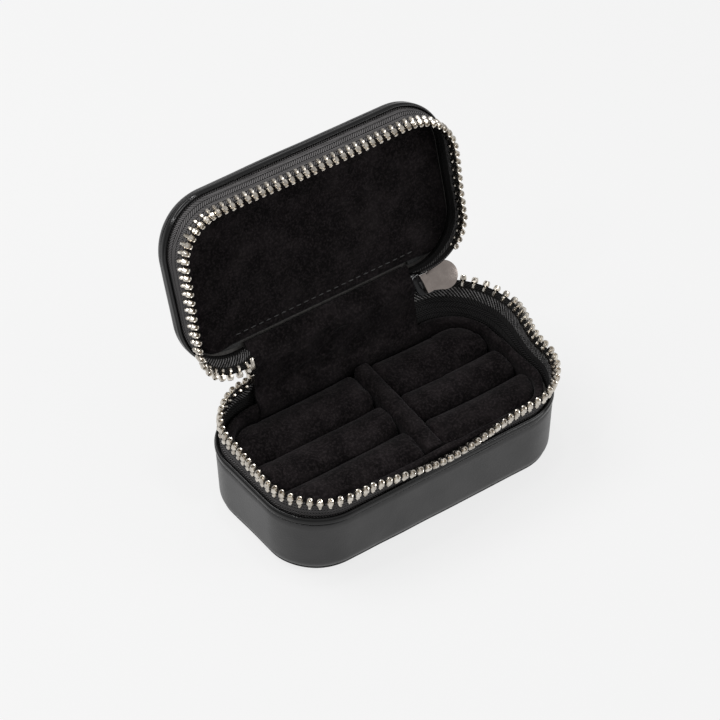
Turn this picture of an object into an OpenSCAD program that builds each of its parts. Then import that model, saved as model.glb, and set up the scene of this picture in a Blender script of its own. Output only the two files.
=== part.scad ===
// Zip-around travel ring box, shown open: a stiff leather-covered base and lid,
// joined along the back by a leather and velvet hinge strip, with a metal zip
// round the other three sides. The base holds velvet ring rolls in two bays.
// Origin: middle of the flat underside. +X right, +Y back (hinge), +Z up.

/* [Case] */
// Outside length of the case
case_l = 92.4; // [84:1:110]
// Outside width of the case, front to back
case_w = 51; // [47:1:62]
// Outside radius of the four upright corners
corner_r = 16; // [14:0.5:20]
// Height of the base up to the top of its rim roll
base_h = 20.1; // [18:0.5:26]
// Thickness of the lid from its rim to its outer face
lid_h = 4.6; // [4.4:0.1:6]
// Height of the hinge strip: the gap between the two rims when shut
rim_gap = 17.2; // [17:0.2:21]
// Angle of the lid from shut to its open rest
open_angle = 106.4; // [98:1:120]
// Half the width of the hinge strip
hinge_half = 27; // [22:0.5:28]

/* [Walls] */
// Thickness of the leather
leather_t = 0.9; // [0.7:0.1:1.2]
// Thickness of the stiff board shells
board_t = 1.6; // [1.4:0.1:2]
// Thickness of the padded velvet on the walls
lining_t = 2.5; // [2:0.1:3]
// Radius of the lower leather edge
edge_r = 3; // [2.6:0.1:3.4]

/* [Ring rolls] */
// Height of the top of the rolls above the table
roll_top = 20.6; // [18:0.2:21]
// Radius along the long top edges of a roll
roll_round = 4; // [2.5:0.1:5]
// Distance from the middle line to the rear slot
rear_slot = 5.5; // [4:0.1:7]
// Distance from the middle line to the front slot
front_slot = 6.5; // [5:0.1:8]
// Thickness of the divider between the bays
divider_t = 5.6; // [3:0.1:7]
// Distance of the divider from the middle of the case
divider_x = 4.2; // [0:0.1:6]
// Skew of the divider, which is only pushed in
divider_skew = 4; // [0:0.5:5]
// Height of the divider above the rolls
divider_rise = 1.2; // [0.6:0.1:1.4]

/* [Zip] */
// Distance from one tooth to the next
tooth_pitch = 2.4; // [2.3:0.1:2.8]
// Length of a tooth out of the tape
tooth_l = 3.4; // [3:0.1:3.6]
// Thickness of the woven tape
tape_t = 0.7; // [0.6:0.05:0.8]
// Travel of the slider along its first stretch
slider_travel = 2; // [1:0.1:2]

/* [Puller] */
// Length of the puller from its pin to its tip
puller_l = 9.6; // [9:0.1:11]
// Width of the round end of the puller
puller_w = 8.3; // [7.5:0.1:9]

/* [Hidden] */
$fn = 48;
// Colours of the finishes
leather_col = [0.13, 0.13, 0.14];
velvet_col = [0.05, 0.05, 0.055];
metal_col = [0.75, 0.73, 0.70];
// Level of the leather edge under the rim, and of the board edge
roll_h = 2.1;
board_drop = 2.5;
// Depth of the bottom panel, and of the groove round it
panel_t = 1.2;
panel_gap = 0.35;
// Level of the inside floor in a shell, up from its outer face
floor_z = panel_t + board_t;
floor_lining_t = 1;
// Distance from the outside to the inner face of the wall padding
inset = leather_t + board_t + lining_t;
// Height of the base padding over the rim
lining_rise = 1.5;
// Lid: radius of its edge, drop of the velvet pad, its foam and its hinge edge
lid_edge_r = lid_h - roll_h - 0.2;
pad_drop = 0.4;
foam_t = 1;
pad_inset = 2;
hinge_fold = 3.9;
seam_in = 7;
// Zip tape: path of its middle face, and the level where it starts to lean
tape_in = leather_t + tape_t / 2;
knee = 0.5;
path_l = case_l / 2 - tape_in;
path_w = case_w / 2 - tape_in;
path_r = corner_r - tape_in;
flat_x = case_l / 2 - corner_r;
flat_y = case_w / 2 - corner_r;
arc_l = path_r * PI / 2;
// The hinge strip never reaches the rear corners
hinge_x = min(hinge_half, flat_x - 1);
s_front = flat_x;
s_side = s_front + arc_l;
s_rear = s_side + 2 * flat_y;
s_back = s_rear + arc_l;
tape_end_gap = 0.2;
s_end = s_back + flat_x - hinge_x - tape_end_gap;
// Lean of the tape in degrees, inwards positive, and its height, at the front
// middle, both ends of the front corner, both ends of the rear corner, the end
base_lean_l = [-46, -20, -10, 0, 4, 0];
base_lean_r = [-46, -20, -17, -42, -43, -43];
base_rise_l = [4.1, 4.1, 4.1, 4.3, 7, 8.2];
base_rise_r = [4.1, 4.1, 4.9, 7.2, 8.2, 8.2];
lid_lean_l = [29, 25, 8, 0, -66, -84];
lid_lean_r = [29, 24, 4, 11, 22, 22];
lid_rise_l = [4.4, 4.4, 4.1, 3.8, 2, 1];
lid_rise_r = [4.4, 4.4, 4.1, 4.1, 4.1, 4.1];
// The right end of the lid tape stops clear of the slider and its puller
s_lid_end = s_rear + arc_l * 0.55;
// Place and length of the slider: the right base teeth stop at its mouth
s_slider = s_back - 4.1;
slider_l = 7.8;
s_teeth_end = s_slider - slider_l / 2 - slider_travel - 0.4;
// Slider: its tilt up towards the lid, the rest of its size, its eye
slider_tilt = 13;
slider_w = 7.4;
plate_t = 1;
plate_gap = 3.4;
eye_r = 1.45;
eye_w = 2;
// Puller: its pin in the eye, its plate, and the fold of the plate over the pin
pin_r = 0.55;
pin_x = -plate_gap / 2 - plate_t - 1;
pin_y = 1.4;
pin_l = 5.5;
puller_t = 0.9;
puller_fold = 0.9;
// Hinge axis at the outer face of the back
axis_y = case_w / 2;
axis_z = base_h + rim_gap;
hinge_gap = 0.3;

// Value between stations, with a soft change at each one
function soft(t) = t * t * (3 - 2 * t);
function between(v, i, t) = v[i] + (v[i + 1] - v[i]) * soft(min(max(t, 0), 1));
function at_station(v, s) =
    s < s_front ? between(v, 0, s / s_front) :
    s < s_side ? between(v, 1, (s - s_front) / arc_l) :
    s < s_rear ? between(v, 2, (s - s_side) / (2 * flat_y)) :
    s < s_back ? between(v, 3, (s - s_rear) / arc_l) :
    between(v, 4, (s - s_back) / (s_end - s_back));
function side_value(left, right, s) = s < 0 ? at_station(left, -s) : at_station(right, s);

// Path of the tape from the front middle: [x, y, angle of the outward side]
function path_right(s) =
    s < s_front ? [s, -path_w, -90] :
    s < s_side ? path_arc(-1, -90 + (s - s_front) / path_r * 180 / PI) :
    s < s_rear ? [path_l, s - s_side - flat_y, 0] :
    s < s_back ? path_arc(1, (s - s_rear) / path_r * 180 / PI) :
    [flat_x - (s - s_back), path_w, 90];
function path_arc(way, a) = [flat_x + path_r * cos(a), way * flat_y + path_r * sin(a), a];
function path_at(s) = s < 0 ? [-path_right(-s)[0], path_right(-s)[1],
    180 - path_right(-s)[2]] : path_right(s);

// Rounded rectangle, a given distance inside the case outline
module outline(d) {
    r = corner_r - d;
    square([case_l - 2 * corner_r, case_w - 2 * d], center = true);
    square([case_l - 2 * d, case_w - 2 * corner_r], center = true);
    for (x = [-flat_x, flat_x])
        for (y = [-flat_y, flat_y])
            translate([x, y]) circle(r, $fn = 96);
}

// A profile (x outwards from the outline, y up) run along one side of the case
module run_side(angle, d, len) {
    rotate([0, 0, angle])
        translate([d, 0, 0])
            rotate([90, 0, 0])
                translate([0, 0, -len / 2])
                    linear_extrude(len) children();
}

// The same profile turned round the corner that starts at an angle
module run_corner(x, y, angle) {
    translate([x, y, 0])
        rotate([0, 0, angle])
            rotate_extrude(angle = 90, $fn = 96)
                translate([corner_r, 0]) children();
}

// The profile round the front, both ends and all four corners
module run_three_sides() {
    run_side(-90, case_w / 2, 2 * flat_x) children();
    run_side(0, case_l / 2, 2 * flat_y) children();
    run_side(180, case_l / 2, 2 * flat_y) children();
    run_corner(flat_x, -flat_y, -90) children();
    run_corner(flat_x, flat_y, 0) children();
    run_corner(-flat_x, flat_y, 90) children();
    run_corner(-flat_x, -flat_y, 180) children();
}

// The profile all round the case
module run_round() {
    run_three_sides() children();
    run_side(90, case_w / 2, 2 * flat_x) children();
}

// The profile round the zip's way only, open at the hinge
module run_zip_way() {
    stub = flat_x - hinge_x - tape_end_gap;
    run_three_sides() children();
    for (side = [-1, 1])
        translate([side * (flat_x - stub / 2), 0, 0])
            run_side(90, case_w / 2, stub) children();
}

// Shells are drawn with the rim at z = 0 and the outer face at z = -h

// Leather band with its turned-under edge
module band(h) {
    low = -h + 0.3 + edge_r;
    run_round() {
        translate([-leather_t, low]) square([leather_t, h - roll_h - 0.3 - edge_r]);
        translate([-edge_r, low])
            intersection() {
                difference() {
                    circle(edge_r);
                    circle(edge_r - leather_t);
                }
                translate([0, -edge_r]) square(edge_r);
            }
    }
}

// Rim roll over the edge of the band, with a seam groove under it
module roll() {
    run_zip_way() {
        translate([-leather_t, -roll_h]) square([leather_t - 0.4, 0.4]);
        translate([-leather_t, -roll_h + 0.35]) square([leather_t - 0.3, roll_h - 0.35]);
        translate([-0.31, -roll_h + 0.35 + 0.45]) circle(0.45);
        translate([-0.31, -0.45]) circle(0.45);
        translate([-0.31, -roll_h + 0.8]) square([0.45, roll_h - 1.25]);
    }
}

// Fine bead along the top of the roll
module bead() {
    run_zip_way()
        intersection() {
            translate([-leather_t / 2, 0]) circle(leather_t / 2 - 0.05);
            translate([-leather_t, 0]) square([leather_t, leather_t]);
        }
}

// Board shell: walls, rounded lower edge and floor, all of one thickness
module board_shell(h) {
    low = -h + panel_t;
    edge_in = edge_r - leather_t;
    reach = 5;
    run_round() {
        translate([-leather_t - board_t, low + edge_in])
            square([board_t, h - board_drop - panel_t - edge_in]);
        translate([-edge_r, low + edge_in])
            intersection() {
                circle(edge_in);
                union() {
                    translate([0, -edge_in]) square([edge_in, board_t]);
                    translate([max(0, edge_in - board_t), -edge_in]) square(edge_in);
                }
            }
        translate([-edge_r - reach, low]) square([reach, board_t]);
    }
    translate([0, 0, low])
        linear_extrude(board_t) outline(edge_r + reach - 0.1);
}

// Flat panel under the base
module flat_panel(h) {
    translate([0, 0, -h])
        linear_extrude(panel_t) outline(edge_r + panel_gap);
}

// Padding on the walls, with a rounded top
module wall_padding(h, top) {
    low = -h + floor_z;
    run_round()
        translate([-inset, low]) {
            square([lining_t, top - low - 1]);
            translate([1, 0]) square([lining_t - 2, top - low]);
            translate([1, top - low - 1]) circle(1);
            translate([lining_t - 1, top - low - 1]) circle(1);
        }
}

// Tape: a thin strip on the path that stands up, then leans at the knee
module tape(first, last, lean_l, lean_r, rise_l, rise_r) {
    n = floor((last - first) / tooth_pitch);
    step = (last - first) / n;
    half = tape_t / 2;
    function ring(s) = let (
        p = path_at(s),
        out = [cos(p[2]), sin(p[2]), 0],
        up = [0, 0, 1],
        lean = side_value(lean_l, lean_r, s),
        rise = side_value(rise_l, rise_r, s),
        lift = knee + 0.4 * soft(min(max(-lean / 80, 0), 1)),
        foot = [p[0], p[1], -board_drop],
        bend = [p[0], p[1], lift],
        way = up * cos(lean) - out * sin(lean),
        face = out * cos(lean) + up * sin(lean),
        face_mid = out * cos(lean / 2) + up * sin(lean / 2),
        tip = bend + way * rise)
        [foot - out * half, bend - face_mid * half, tip - face * half,
            tip + face * half, bend + face_mid * half, foot + out * half];
    points = [for (i = [0:n]) each ring(first + i * step)];
    walls = [for (i = [0:n - 1], j = [0:5])
        let (a = 6 * i + j, b = 6 * i + (j + 1) % 6)
        each [[a, b, b + 6], [a, b + 6, a + 6]]];
    ends = [[0, 5, 4], [0, 4, 1], [1, 4, 3], [1, 3, 2],
        [6 * n, 6 * n + 4, 6 * n + 5], [6 * n, 6 * n + 1, 6 * n + 4],
        [6 * n + 1, 6 * n + 3, 6 * n + 4], [6 * n + 1, 6 * n + 2, 6 * n + 3]];
    polyhedron(points, concat(walls, ends), convexity = 10);
}

// Places its children at the tip of the tape: x outwards, z along the lean
module on_tape(s, lean_l, lean_r, rise) {
    p = path_at(s);
    lean = side_value(lean_l, lean_r, s);
    lift = knee + 0.4 * soft(min(max(-lean / 80, 0), 1));
    translate([p[0], p[1], lift])
        rotate([0, 0, p[2]])
            rotate([0, -lean, 0])
                translate([0, 0, rise]) children();
}

// One tooth: a flat shank and a round head
module tooth() {
    gap = 0.1;
    head_r = 0.85;
    translate([-1.2, -0.5, gap]) cube([2.4, 1, tooth_l - head_r - gap]);
    translate([-1, 0, tooth_l - head_r])
        rotate([0, 90, 0]) cylinder(2, r = head_r, $fn = 20);
}

// A row of teeth along a tape
module teeth(first, last, lean_l, lean_r, rise_l, rise_r) {
    from = ceil(first / tooth_pitch + 0.4);
    to = floor(last / tooth_pitch - 0.4);
    for (i = [from:to]) {
        s = i * tooth_pitch;
        on_tape(s, lean_l, lean_r, side_value(rise_l, rise_r, s)) tooth();
    }
}

// Moves a base shell part up to the rim of the base
module at_base() {
    translate([0, 0, base_h]) children();
}

// Turns a shell part over, sets it on the closed rim and swings it open
module at_lid() {
    translate([0, axis_y, axis_z])
        rotate([-open_angle, 0, 0])
            translate([0, -axis_y, 0])
                mirror([0, 0, 1]) children();
}

module base_leather() {
    color(leather_col) at_base() band(base_h);
}

module base_rim_roll() {
    color(leather_col) at_base() roll();
}

module base_rim_bead() {
    color(leather_col) at_base() bead();
}

module bottom_panel() {
    color(leather_col) at_base() flat_panel(base_h);
}

module base_frame() {
    color([0.2, 0.19, 0.18]) at_base() board_shell(base_h);
}

module base_wall_lining() {
    color(velvet_col) at_base() wall_padding(base_h, lining_rise);
}

module base_floor_lining() {
    color(velvet_col)
        translate([0, 0, floor_z])
            linear_extrude(floor_lining_t) outline(inset);
}

// Upright with a rounded top: width w, from the floor to z = top
module rounded_bar(w, top, r) {
    h = top - floor_z - floor_lining_t;
    translate([-w / 2, 0]) square([w, h - r]);
    translate([-w / 2 + r, 0]) square([w - 2 * r, h]);
    for (side = [-1, 1])
        translate([side * (w / 2 - r), h - r]) circle(r);
}

module divider() {
    len = case_w - 2 * inset - 0.8;
    color(velvet_col)
        translate([divider_x, 0, floor_z + floor_lining_t])
            rotate([90, 0, -divider_skew])
                translate([0, 0, -len / 2])
                    linear_extrude(len)
                        rounded_bar(divider_t, roll_top + divider_rise, 1.2);
}

// One ring roll from y = back to y = front, on the left (-1) or right (1)
module ring_roll(side, front, back) {
    gap = 0.12;
    w = back - front - 2 * gap;
    color(velvet_col)
        translate([0, 0, floor_z + floor_lining_t])
            intersection() {
                rotate([90, 0, 90])
                    translate([(back + front) / 2, 0, -case_l / 2])
                        linear_extrude(case_l) rounded_bar(w, roll_top, roll_round);
                linear_extrude(base_h) outline(inset + gap);
                translate([divider_x, 0, -1])
                    rotate([0, 0, -divider_skew])
                        translate([side * (case_l / 2 + divider_t / 2 + gap), 0, 0])
                            linear_extrude(base_h + 2)
                                square([case_l, 2 * case_w], center = true);
            }
}

module left_rear_roll() {
    ring_roll(-1, rear_slot, case_w / 2 - inset);
}

module left_middle_roll() {
    ring_roll(-1, -front_slot, rear_slot);
}

module left_front_roll() {
    ring_roll(-1, inset - case_w / 2, -front_slot);
}

module right_rear_roll() {
    ring_roll(1, rear_slot, case_w / 2 - inset);
}

module right_middle_roll() {
    ring_roll(1, -front_slot, rear_slot);
}

module right_front_roll() {
    ring_roll(1, inset - case_w / 2, -front_slot);
}

module base_zip_tape() {
    color(leather_col)
        at_base() tape(-s_end, s_end, base_lean_l, base_lean_r, base_rise_l, base_rise_r);
}

module base_zip_teeth() {
    color(metal_col)
        at_base()
            teeth(-s_end + 1.2, s_teeth_end, base_lean_l, base_lean_r,
                base_rise_l, base_rise_r);
}

// Metal clip that holds the two tapes together at the left end
module zip_end_stop() {
    color(metal_col)
        at_base()
            on_tape(-s_end + 0.6, base_lean_l, base_lean_r, base_rise_l[5])
                translate([-1.2, -0.6, 0.1]) cube([2.4, 1.2, 3]);
}

module hinge_leather() {
    low = base_h - roll_h;
    color(leather_col)
        translate([-hinge_x, case_w / 2 - leather_t, low])
            cube([2 * hinge_x, leather_t, axis_z - hinge_gap - low]);
}

module hinge_lining() {
    lining = 1.4;
    low = base_h - board_drop;
    color(velvet_col)
        translate([-hinge_x, case_w / 2 - leather_t - lining, low])
            cube([2 * hinge_x, lining, axis_z - hinge_gap - low]);
}

// Leather of the lid: one skin over the face and round the edge
module lid_leather() {
    low = -lid_h + lid_edge_r;
    color(leather_col)
        at_lid() {
            run_round() {
                translate([-leather_t, low]) square([leather_t, -roll_h - low]);
                translate([-lid_edge_r, low])
                    intersection() {
                        difference() {
                            circle(lid_edge_r);
                            circle(lid_edge_r - leather_t);
                        }
                        translate([0, -lid_edge_r]) square(lid_edge_r);
                    }
            }
            translate([0, 0, -lid_h])
                linear_extrude(leather_t) outline(lid_edge_r);
            translate([-hinge_x, case_w / 2 - leather_t, -roll_h])
                cube([2 * hinge_x, leather_t, roll_h - 0.05]);
        }
}

module lid_rim_roll() {
    color(leather_col) at_lid() roll();
}

module lid_rim_bead() {
    color(leather_col) at_lid() bead();
}

// Board inside the lid, rounded to fit the leather edge
module lid_board() {
    edge_in = lid_edge_r - leather_t;
    low = -lid_h + leather_t;
    top = -board_drop;
    color([0.2, 0.19, 0.18])
        at_lid() {
            run_round()
                translate([-lid_edge_r, -lid_h + lid_edge_r])
                    intersection() {
                        circle(edge_in);
                        translate([0, -edge_in])
                            square([edge_in, edge_in + top + lid_h - lid_edge_r]);
                    }
            translate([0, 0, low])
                linear_extrude(top - low) outline(lid_edge_r);
        }
}

// Outline of the lid pad, cut back along the hinge strip
module pad_outline(d) {
    difference() {
        outline(pad_inset + d);
        translate([-hinge_x - 0.2 - d, case_w / 2 - hinge_fold - d])
            square([2 * (hinge_x + 0.2 + d), hinge_fold + d]);
    }
}

module lid_foam() {
    color([0.3, 0.3, 0.3])
        at_lid()
            translate([0, 0, -board_drop])
                linear_extrude(foam_t) pad_outline(1);
}

// Velvet pad over the foam
module lid_pad() {
    color(velvet_col)
        at_lid()
            difference() {
                translate([0, 0, -board_drop])
                    linear_extrude(board_drop - pad_drop) pad_outline(0);
                translate([0, 0, -board_drop - 1])
                    linear_extrude(foam_t + 1) pad_outline(1);
            }
}

// End of the velvet hinge strip, laid on the lid up to the fold of the pad
module lid_hinge_lining() {
    lining = 1.4;
    color(velvet_col)
        at_lid()
            translate([-hinge_x, case_w / 2 - hinge_fold + 0.1, -board_drop])
                cube([2 * hinge_x, hinge_fold - leather_t - 0.1, lining]);
}

// Dashed seam along the hinge side of the pad
module lid_stitches() {
    count = 24;
    pitch = 2.5;
    color([0.5, 0.5, 0.5])
        at_lid()
            for (i = [0:count - 1])
                translate([(i - (count - 1) / 2) * pitch, case_w / 2 - seam_in,
                    -pad_drop + 0.12])
                    cube([1.6, 0.4, 0.24], center = true);
}

module lid_zip_tape() {
    color(leather_col)
        at_lid() tape(-s_end, s_lid_end, lid_lean_l, lid_lean_r, lid_rise_l, lid_rise_r);
}

module lid_zip_teeth() {
    color(metal_col)
        at_lid() teeth(-s_end + 1.2, s_lid_end, lid_lean_l, lid_lean_r, lid_rise_l, lid_rise_r);
}

// Bar that ends the row of lid teeth at the left
module lid_end_stop() {
    color(metal_col)
        at_lid()
            on_tape(-s_end + 0.6, lid_lean_l, lid_lean_r, lid_rise_l[5])
                translate([-1.2, -0.6, 0.35]) cube([2.4, 1.2, 3.6]);
}

// Frame of the slider: x outwards through the tape, z along its lean
module at_slider() {
    at_base()
        on_tape(s_slider, base_lean_l, base_lean_r,
            at_station(base_rise_r, s_slider) + 1.6)
            rotate([-slider_tilt, 0, 0]) children();
}

// Slider: two plates, a wedge post, guide ribs and an eye for the puller
module slider_body() {
    inner = plate_gap / 2;
    color(metal_col)
        at_slider() {
            for (x = [-inner - plate_t, inner])
                translate([x, 0, 0])
                    rotate([0, 90, 0])
                        linear_extrude(plate_t) plate_shape();
            translate([-inner, -slider_l / 2 + 1.4, 0])
                rotate([0, 90, 0]) cylinder(plate_gap, r = 0.8, $fn = 24);
            translate([tape_t / 2 + 0.12, -0.6, -slider_w / 2 + 0.3])
                cube([inner - tape_t / 2 - 0.12, 1.2, 1.4]);
            translate([-inner, -0.6, -slider_w / 2 + 0.3])
                cube([inner - tape_t / 2 - 0.25, 1.2, 1.4]);
            translate([pin_x, pin_y, -eye_w / 2])
                difference() {
                    cylinder(eye_w, r = eye_r);
                    translate([0, 0, -1]) cylinder(eye_w + 2, r = pin_r + 0.2);
                }
        }
}

// Outline of a slider plate, wider at the mouth
module plate_shape() {
    r = 1.2;
    narrow = slider_w - 1.6;
    for (side = [-1, 1]) {
        translate([side * (slider_w / 2 - r), -slider_l / 2 + r]) circle(r);
        translate([side * (narrow / 2 - r), slider_l / 2 - r]) circle(r);
    }
    translate([-narrow / 2 + r, -slider_l / 2]) square([narrow - 2 * r, slider_l]);
    polygon([[-slider_w / 2, -slider_l / 2 + r], [slider_w / 2, -slider_l / 2 + r],
        [narrow / 2, slider_l / 2 - r], [-narrow / 2, slider_l / 2 - r]]);
}

// Outline of the puller: a straight folded edge, shoulders and a round end
module puller_shape() {
    neck = pin_l / 2;
    round_y = puller_w / 2 - puller_l;
    wide = puller_w / 2 - 0.05;
    translate([0, round_y]) circle(puller_w / 2, $fn = 64);
    polygon([[-neck, puller_fold], [neck, puller_fold], [neck - 0.1, -0.9],
        [wide, round_y + 0.5], [-wide, round_y + 0.5], [0.1 - neck, -0.9]]);
}

// Puller: a pin through the eye, two ears and the plate over them
module puller() {
    ear_t = 0.8;
    ear_r = 0.8;
    top = eye_r + 0.2 + puller_t;
    color(metal_col)
        at_slider()
            translate([pin_x, pin_y, 0]) {
                translate([0, 0, -pin_l / 2]) cylinder(pin_l, r = pin_r, $fn = 24);
                for (z = [-pin_l / 2, pin_l / 2 - ear_t])
                    translate([0, 0, z])
                        linear_extrude(ear_t) {
                            circle(ear_r);
                            translate([-top, -ear_r]) square([top, 2 * ear_r]);
                        }
                translate([-top, 0, 0])
                    rotate([0, 90, 0])
                        linear_extrude(puller_t) puller_shape();
            }
}

base_leather();
base_rim_roll();
base_rim_bead();
bottom_panel();
base_frame();
base_wall_lining();
base_floor_lining();
divider();
left_rear_roll();
left_middle_roll();
left_front_roll();
right_rear_roll();
right_middle_roll();
right_front_roll();
base_zip_tape();
base_zip_teeth();
zip_end_stop();
hinge_leather();
hinge_lining();
lid_leather();
lid_rim_roll();
lid_rim_bead();
lid_board();
lid_foam();
lid_pad();
lid_hinge_lining();
lid_stitches();
lid_zip_tape();
lid_zip_teeth();
lid_end_stop();
slider_body();
puller();
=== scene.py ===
"""Looks of a small zip-around ring case: velvet ring rolls, a soft hinge strip, a metal zip."""

import logging
import math
from collections.abc import Callable, Sequence
from dataclasses import dataclass, field
from enum import Enum

import bmesh
import bpy
import numpy as np
from mathutils import Matrix, Vector, noise


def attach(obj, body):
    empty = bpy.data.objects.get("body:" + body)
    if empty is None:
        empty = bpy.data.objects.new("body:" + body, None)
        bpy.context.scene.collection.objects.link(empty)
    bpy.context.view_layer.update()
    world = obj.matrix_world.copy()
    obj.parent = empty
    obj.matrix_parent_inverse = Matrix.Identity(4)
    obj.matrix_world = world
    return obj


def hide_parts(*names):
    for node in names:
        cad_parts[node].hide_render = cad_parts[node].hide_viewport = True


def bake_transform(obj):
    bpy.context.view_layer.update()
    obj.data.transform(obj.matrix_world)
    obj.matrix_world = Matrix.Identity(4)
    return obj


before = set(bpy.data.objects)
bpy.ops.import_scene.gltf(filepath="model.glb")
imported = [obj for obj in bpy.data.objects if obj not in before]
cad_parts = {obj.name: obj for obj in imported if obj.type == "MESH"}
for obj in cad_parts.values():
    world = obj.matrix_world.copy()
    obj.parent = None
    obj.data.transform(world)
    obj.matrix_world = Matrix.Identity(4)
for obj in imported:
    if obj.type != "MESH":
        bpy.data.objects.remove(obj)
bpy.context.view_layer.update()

MM = 0.001
LOG = logging.getLogger("ring_case")
# Name of the cloth's UV map, and where the outer face of the zip's tape starts on it, in mm.
CLOTH_MAP = "Cloth"
OUTER_FACE = 90.0
# Points of a CAD mesh that are this close, in mm, are one point.
SAME_POINT = 0.002
# Seed of the noise that makes soft goods uneven.
NOISE_SEED = 7
# Sharp edges turn more than this, in degrees: on leather, on cloth, on small metal.
LEATHER_EDGE, CLOTH_EDGE, METAL_EDGE = 50, 60, 38

Corner = tuple[float, float]
Colour = tuple[float, float, float]


class Half(Enum):
    """The two stiff halves of the case."""

    BASE = "base"
    LID = "lid"


# For each half: the seed of its teeth's random turns, and places in the noise that bows
# its tape and ripples its leather.
TOOTH_SEED = {Half.BASE: 11, Half.LID: 23}
BOW_PLACE = {Half.BASE: 8.1, Half.LID: 1.3}
RIPPLE_PLACE = {Half.BASE: 5.0, Half.LID: 9.0}


def soft(t: float) -> float:
    """Soft step from 0 to 1."""
    t = min(max(t, 0.0), 1.0)
    return t * t * (3 - 2 * t)


def ring_faces(rows: int, size: int, closed: bool = False) -> list[list[int]]:
    """Quads between rings of points that follow each other.

    Args:
        rows: Number of rings.
        size: Points in a ring.
        closed: Whether the last ring joins the first.

    Returns:
        The quads, ring by ring.
    """
    faces = []
    for i in range(rows if closed else rows - 1):
        a, b = i * size, (i + 1) % rows * size
        for j in range(size):
            k = (j + 1) % size
            faces.append([a + j, a + k, b + k, b + j])
    return faces


def ring_cap(start: int, size: int) -> list[int]:
    """The face that closes a ring of points."""
    return list(range(start, start + size))


def ring_fan(start: int, size: int, pole: int) -> list[list[int]]:
    """Triangles from a ring of points to one point in its middle."""
    return [[start + j, start + (j + 1) % size, pole] for j in range(size)]


# ----------------------------------------------------------------- case sizes


@dataclass(frozen=True)
class CaseShape:
    """Sizes of the case in millimetres, and the path that its zip follows."""

    length: float = 92.4
    width: float = 51.0
    corner: float = 16.0
    base_height: float = 20.1
    lid_height: float = 4.6
    strip_height: float = 17.2
    open_deg: float = 106.4
    strip_half: float = 27.0
    leather: float = 0.9
    roll_height: float = 2.1
    board_drop: float = 2.5
    knee: float = 0.5
    tape: float = 0.7
    pitch: float = 2.4
    lining_inset: float = 5.0
    strip_gap: float = 0.2

    @property
    def flat_x(self) -> float:
        """Half the straight run of the front."""
        return self.length / 2 - self.corner

    @property
    def flat_y(self) -> float:
        """Half the straight run of an end."""
        return self.width / 2 - self.corner

    @property
    def tape_radius(self) -> float:
        """Radius of the tape's path in the corners."""
        return self.corner - self.leather - self.tape / 2

    @property
    def axis(self) -> Vector:
        """A point on the hinge axis."""
        return Vector((0, self.width / 2, self.base_height + self.strip_height))

    def marks(self, radius: float) -> list[float]:
        """Run from the front middle to each corner's start and end, and to the back middle.

        Args:
            radius: Radius of the path in the corners.

        Returns:
            The five distances along the path.
        """
        arc = radius * math.pi / 2
        side = self.flat_x + arc
        rear = side + 2 * self.flat_y
        return [self.flat_x, side, rear, rear + arc, rear + arc + self.flat_x]

    def station(self, s: float, radius: float) -> tuple[float, float, float]:
        """Centre of curvature line and outward angle at a place on the path.

        Args:
            s: Run along the path from the front middle, positive to the right.
            radius: Radius of the path in the corners.

        Returns:
            x and y of the centre, and the outward angle in radians.
        """
        front, side, rear, back, _ = self.marks(radius)
        t = abs(s)
        if t < front:
            x, y, a = t, -self.flat_y, -math.pi / 2
        elif t < side:
            x, y, a = self.flat_x, -self.flat_y, (t - front) / radius - math.pi / 2
        elif t < rear:
            x, y, a = self.flat_x, t - side - self.flat_y, 0.0
        elif t < back:
            x, y, a = self.flat_x, self.flat_y, (t - rear) / radius
        else:
            x, y, a = self.flat_x - (t - back), self.flat_y, math.pi / 2
        return (x, y, a) if s >= 0 else (-x, y, math.pi - a)

    def stations(self, first: float, last: float, step: float, radius: float) -> list["Stop"]:
        """Evenly spaced stops along a stretch of the path.

        Args:
            first: Start of the stretch.
            last: End of the stretch.
            step: Wanted distance between stops.
            radius: Radius of the path in the corners.

        Returns:
            The stops, both ends included.
        """
        count = max(2, round((last - first) / step))
        runs = [first + (last - first) * i / count for i in range(count + 1)]
        return [Stop(s, *self.station(s, radius)) for s in runs]

    def loop(self, step: float) -> list["Stop"]:
        """Stops all round the outline, the last one short of the first."""
        half = self.marks(self.corner)[4]
        return self.stations(-half, half, step, self.corner)[:-1]

    def zip_end(self, radius: float) -> float:
        """Run from the front middle to the place where the hinge strip starts."""
        return self.marks(radius)[4] - self.strip_half - self.strip_gap

    def zip_way(self, step: float) -> list["Stop"]:
        """Stops round the outline that leave the hinge strip free."""
        half = self.zip_end(self.corner)
        return self.stations(-half, half, step, self.corner)

    def placed(self, half: Half, points: Sequence[Vector]) -> np.ndarray:
        """Moves points of a shell drawn with its rim at z = 0 to where the half stands.

        Args:
            half: The base or the lid.
            points: The points in millimetres.

        Returns:
            The moved points as rows of x, y, z.
        """
        out = np.array([tuple(p) for p in points], float)
        if half is Half.BASE:
            out[:, 2] += self.base_height
            return out
        turn = math.radians(-self.open_deg)
        y, z = out[:, 1] - self.axis.y, -out[:, 2]
        out[:, 1] = self.axis.y + y * math.cos(turn) - z * math.sin(turn)
        out[:, 2] = self.axis.z + y * math.sin(turn) + z * math.cos(turn)
        return out


@dataclass(frozen=True)
class Stop:
    """A place on the path: run, centre of curvature and outward angle."""

    s: float
    x: float
    y: float
    a: float

    def at(self, radius: float, up: float = 0.0) -> Vector:
        """The point at a distance outwards from the centre."""
        return Vector((self.x + radius * math.cos(self.a), self.y + radius * math.sin(self.a), up))


CASE = CaseShape()


# ------------------------------------------------------------- shader writing


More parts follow.
